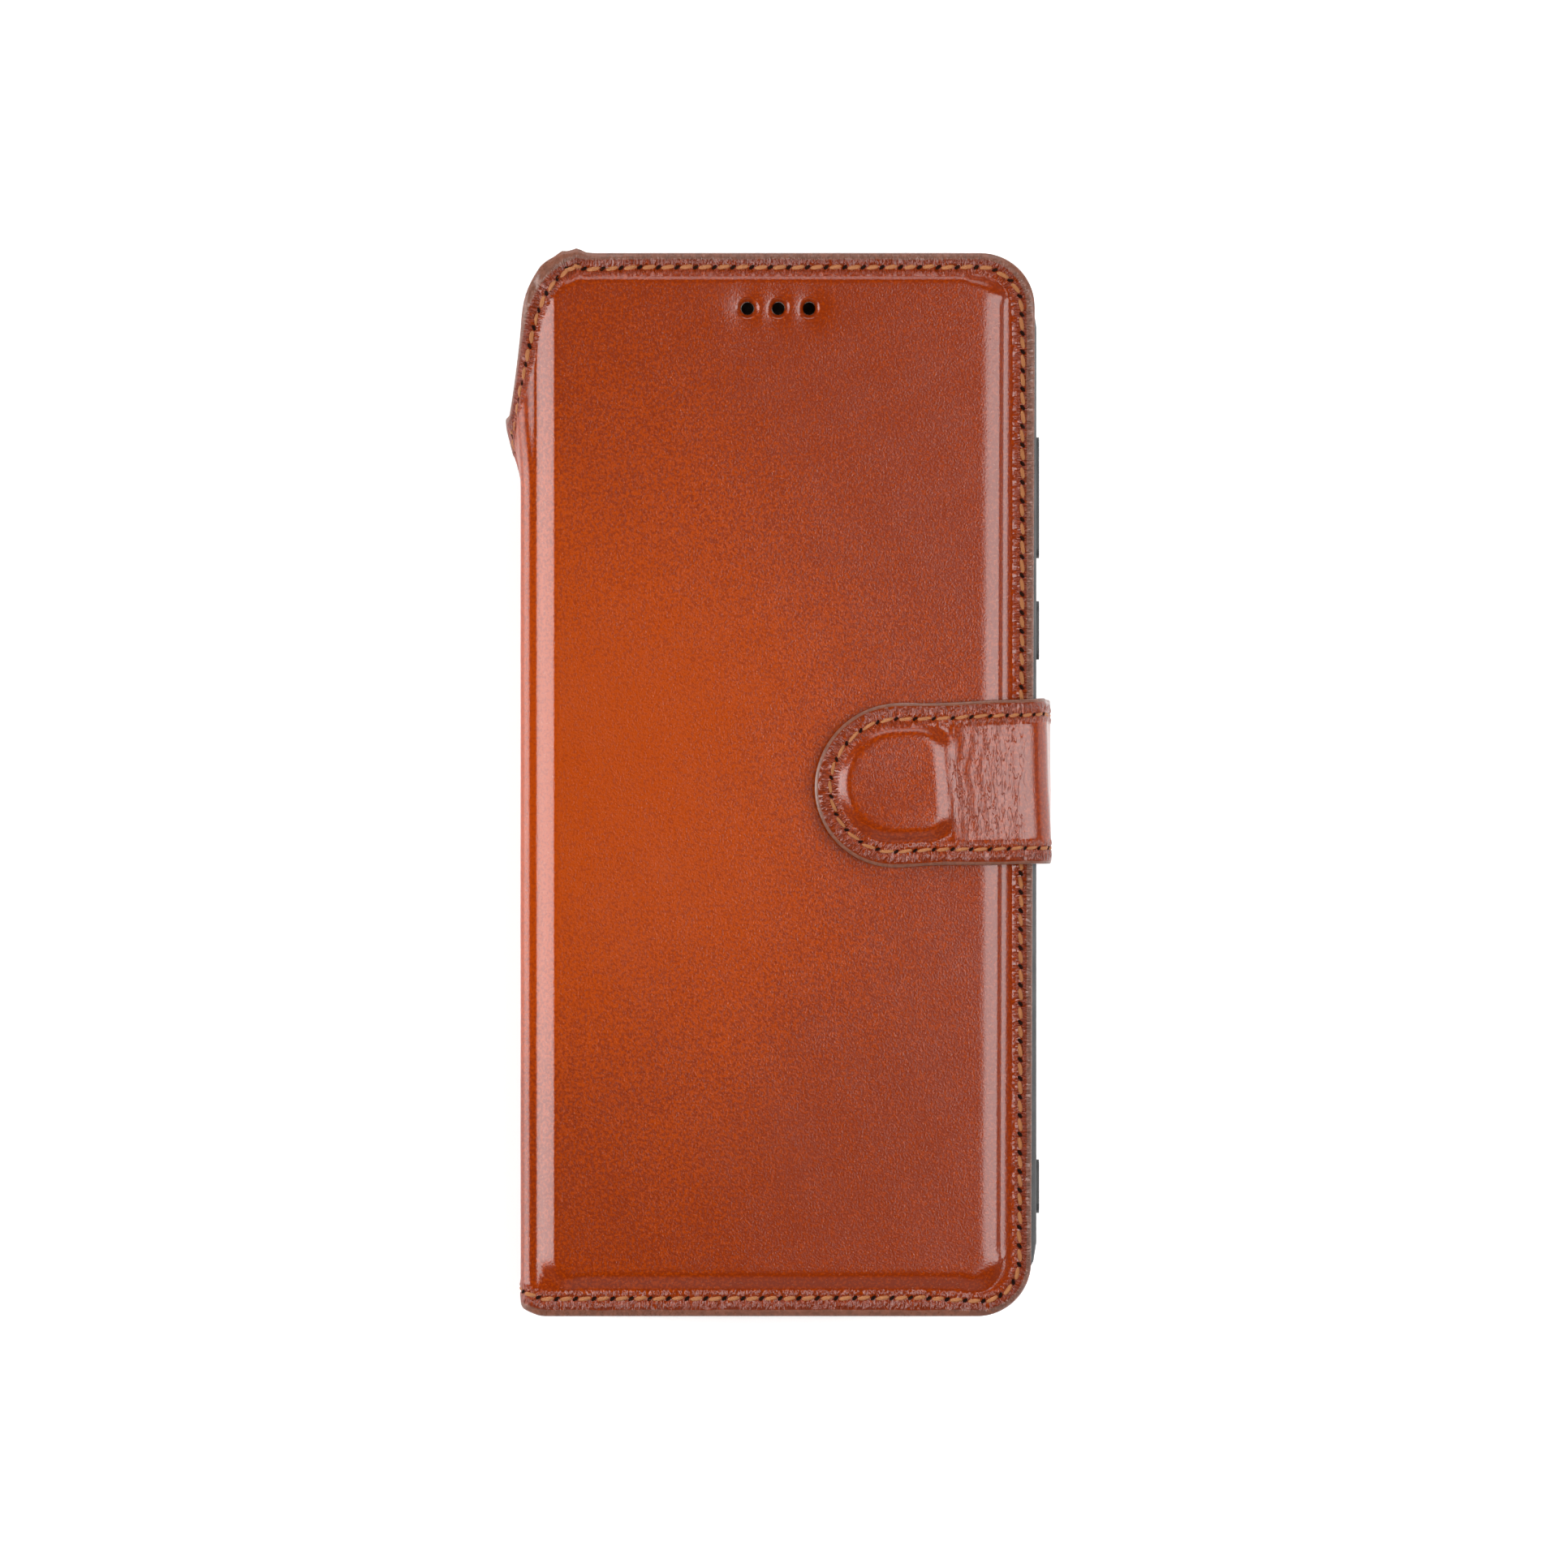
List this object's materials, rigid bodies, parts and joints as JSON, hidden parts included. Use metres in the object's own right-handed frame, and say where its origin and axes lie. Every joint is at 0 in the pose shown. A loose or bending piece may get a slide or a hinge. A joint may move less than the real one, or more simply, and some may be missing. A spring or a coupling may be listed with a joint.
{
  "type": "phone wallet case",
  "caption": "Leather book cover for a phone with a soft tray, card pockets inside the front and a magnetic strap that folds over the edge.",
  "frame": {"origin": "middle of the back cover's outer face, which the closed case lies on", "axes": "+X from the spine to the free edge, +Y towards the phone's top, +Z out through the front cover"},
  "size_m": [0.0837, 0.166, 0.025],
  "materials": {
    "outer_leather": "glossy burnished tan leather, darker towards the edges",
    "strap_leather": "glossy burnished tan leather, creased where it bends",
    "lining": "matte brown suede lining",
    "pocket_leather": "satin tan leather, thinner than the outside",
    "thread": "waxed orange-tan thread",
    "board": "plain grey-brown fibreboard",
    "adhesive": "clear adhesive film",
    "tray_rubber": "soft black rubber, fine matte",
    "plastic": "dark moulded plastic",
    "magnet": "nickel-plated disc",
    "steel": "plain thin steel"
  },
  "bodies": {
    "back_cover": {"back_outer_leather": "outer_leather", "back_panel_stitching": "thread", "back_stiffener_board": "board", "back_lining": "lining", "tray_bonding_sheet": "adhesive", "strap_root_tongue": "strap_leather", "phone_tray": "tray_rubber"},
    "volume_key": {"volume_key_pad": "tray_rubber"},
    "power_key": {"power_key_pad": "tray_rubber"},
    "camera_key": {"camera_key_pad": "tray_rubber"},
    "spine": {"spine_outer_leather": "outer_leather", "spine_lining": "lining", "spine_foot_stitching": "thread", "spine_notch_stitching": "thread"},
    "front_cover": {"front_outer_leather": "outer_leather", "front_stiffener_board": "board", "front_lining": "lining", "front_cover_stitching": "thread", "clasp_keeper_plate": "steel", "cash_pocket_panel": "pocket_leather", "card_pocket_upper": "pocket_leather", "card_pocket_middle": "pocket_leather", "card_pocket_lower": "pocket_leather", "card_pocket_stitching": "thread"},
    "strap_side": {"strap_side_leather": "strap_leather", "strap_side_lining": "lining", "strap_side_stitching_upper": "thread", "strap_side_stitching_lower": "thread"},
    "strap_tab": {"strap_tab_leather": "strap_leather", "strap_tab_lining": "lining", "strap_tab_stitching": "thread", "magnet_housing": "plastic", "clasp_magnet": "magnet"}
  },
  "joints": [
    {"name": "spine_fold", "type": "hinge", "parent": "back_cover", "child": "spine", "pos_m": [-0.03685, 0, 0], "axis": [0, -1, 0], "range_deg": [0, 180]},
    {"name": "cover_fold", "type": "hinge", "parent": "spine", "child": "front_cover", "pos_m": [-0.03685, 0, 0.02085], "axis": [0, -1, 0], "range_deg": [0, 180]},
    {"name": "strap_foot_fold", "type": "hinge", "parent": "back_cover", "child": "strap_side", "pos_m": [0.04085, 0, 0], "axis": [0, 1, 0], "range_deg": [0, 120]},
    {"name": "strap_top_fold", "type": "hinge", "parent": "strap_side", "child": "strap_tab", "pos_m": [0.03915, 0, 0.0237], "axis": [0, 1, 0], "range_deg": [0, 180]},
    {"name": "volume_key_press", "type": "slide", "parent": "back_cover", "child": "volume_key", "axis": [-1, 0, 0], "range_m": [0, 0.0004], "stiffness_N_per_m": 600},
    {"name": "power_key_press", "type": "slide", "parent": "back_cover", "child": "power_key", "axis": [-1, 0, 0], "range_m": [0, 0.0004], "stiffness_N_per_m": 600},
    {"name": "camera_key_press", "type": "slide", "parent": "back_cover", "child": "camera_key", "axis": [-1, 0, 0], "range_m": [0, 0.0004], "stiffness_N_per_m": 600}
  ]
}
